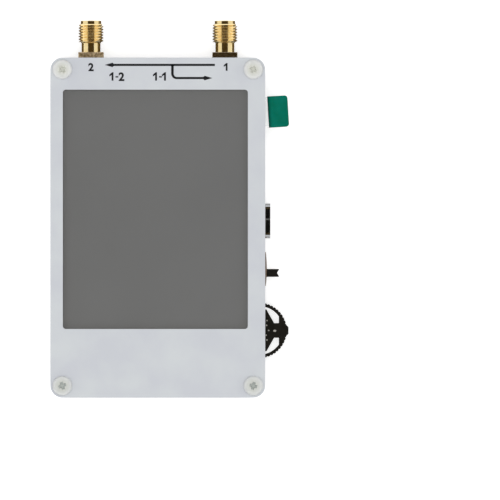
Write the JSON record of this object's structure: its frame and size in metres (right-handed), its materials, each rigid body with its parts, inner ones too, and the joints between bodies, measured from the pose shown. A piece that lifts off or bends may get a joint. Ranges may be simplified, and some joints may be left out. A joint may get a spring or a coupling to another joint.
{
  "type": "antenna analyzer",
  "caption": "Pocket antenna analyzer: screen in a sandwich of circuit boards, coaxial jacks, jog lever, slide switch and charging socket.",
  "frame": {"origin": "midway between the four corner screws, on the outer face of the back panel; the back screw heads that it rests on reach 1.6 mm below", "axes": "+X towards the edge with the socket, switch and jog lever, +Y towards the coaxial jacks, +Z out of the screen"},
  "size_m": [0.06, 0.0949, 0.0142],
  "materials": {
    "white_board": "white solder mask on glass-epoxy, satin",
    "green_board": "dark green solder mask on glass-epoxy",
    "white_nylon": "moulded natural nylon",
    "foam_tape": "black foam tape",
    "white_plastic": "moulded white polycarbonate",
    "display_glass": "liquid-crystal glass, dark",
    "touch_glass": "grey touch screen",
    "amber_film": "polyimide ribbon",
    "clear_film": "clear polyester film",
    "green_film": "green polyester pull tab",
    "gold_plate": "gold-plated brass",
    "white_ptfe": "turned PTFE",
    "bright_steel": "nickel-plated steel",
    "tinned_steel": "tin-plated steel",
    "black_plastic": "moulded black nylon",
    "brown_phenolic": "phenolic switch base",
    "foil_pouch": "laminated foil pouch",
    "red_insulation": "red silicone lead",
    "black_insulation": "black silicone lead",
    "chip_epoxy": "moulded epoxy chip",
    "ferrite": "ferrite core",
    "chip_ceramic": "ceramic chip parts",
    "light_resin": "clear yellow-white resin"
  },
  "bodies": {
    "root": {"front_panel": "white_board", "back_panel": "white_board", "main_board": "green_board", "back_screws": "white_nylon", "front_screws": "white_nylon", "back_spacers": "white_nylon", "front_spacers": "white_nylon", "screen_tape": "foam_tape", "screen_backlight": "white_plastic", "screen_glass": "display_glass", "touch_panel": "touch_glass", "screen_flex": "amber_film", "protective_film": "clear_film", "pull_tab": "green_film", "port_1_body": "gold_plate", "port_1_insulator": "white_ptfe", "port_1_contact": "gold_plate", "port_2_body": "gold_plate", "port_2_insulator": "white_ptfe", "port_2_contact": "gold_plate", "usb_shell": "bright_steel", "usb_tongue": "black_plastic", "usb_contacts": "gold_plate", "power_switch_frame": "tinned_steel", "power_switch_base": "brown_phenolic", "power_switch_terminals": "tinned_steel", "jog_base": "black_plastic", "jog_cover": "tinned_steel", "jog_push_spring": "bright_steel", "jog_contact_springs": "gold_plate", "jog_terminals": "tinned_steel", "battery_cell": "foil_pouch", "battery_tape": "foam_tape", "battery_lead_red": "red_insulation", "battery_lead_black": "black_insulation", "shield_cans": "tinned_steel", "mixer_chips": "chip_epoxy", "processor_chip": "chip_epoxy", "clock_chip": "chip_epoxy", "charger_chip": "chip_epoxy", "codec_chip": "chip_epoxy", "oscillator_can": "bright_steel", "power_inductor": "ferrite", "small_passives": "chip_ceramic", "status_lights": "light_resin"},
    "power_knob": {"power_switch_knob": "black_plastic"},
    "jog_carriage": {"jog_carrier": "white_plastic", "jog_pivot_pin": "bright_steel"},
    "jog_lever": {"jog_lever": "black_plastic"}
  },
  "joints": [
    {"name": "power_slide", "type": "slide", "parent": "root", "child": "power_knob", "axis": [0, 1, 0], "range_m": [0, 0.002]},
    {"name": "jog_push", "type": "slide", "parent": "root", "child": "jog_carriage", "axis": [-1, 0, 0], "range_m": [0, 0.0004], "stiffness_N_per_m": 3750, "deforming": ["jog_push_spring", "jog_contact_springs"]},
    {"name": "jog_rock", "type": "hinge", "parent": "jog_carriage", "child": "jog_lever", "pos_m": [0.02547, -0.0259, 0.0027], "axis": [0, 0, 1], "range_deg": [-12, 12], "stiffness_Nm_per_rad": 0.033, "deforming": ["jog_contact_springs"]}
  ]
}
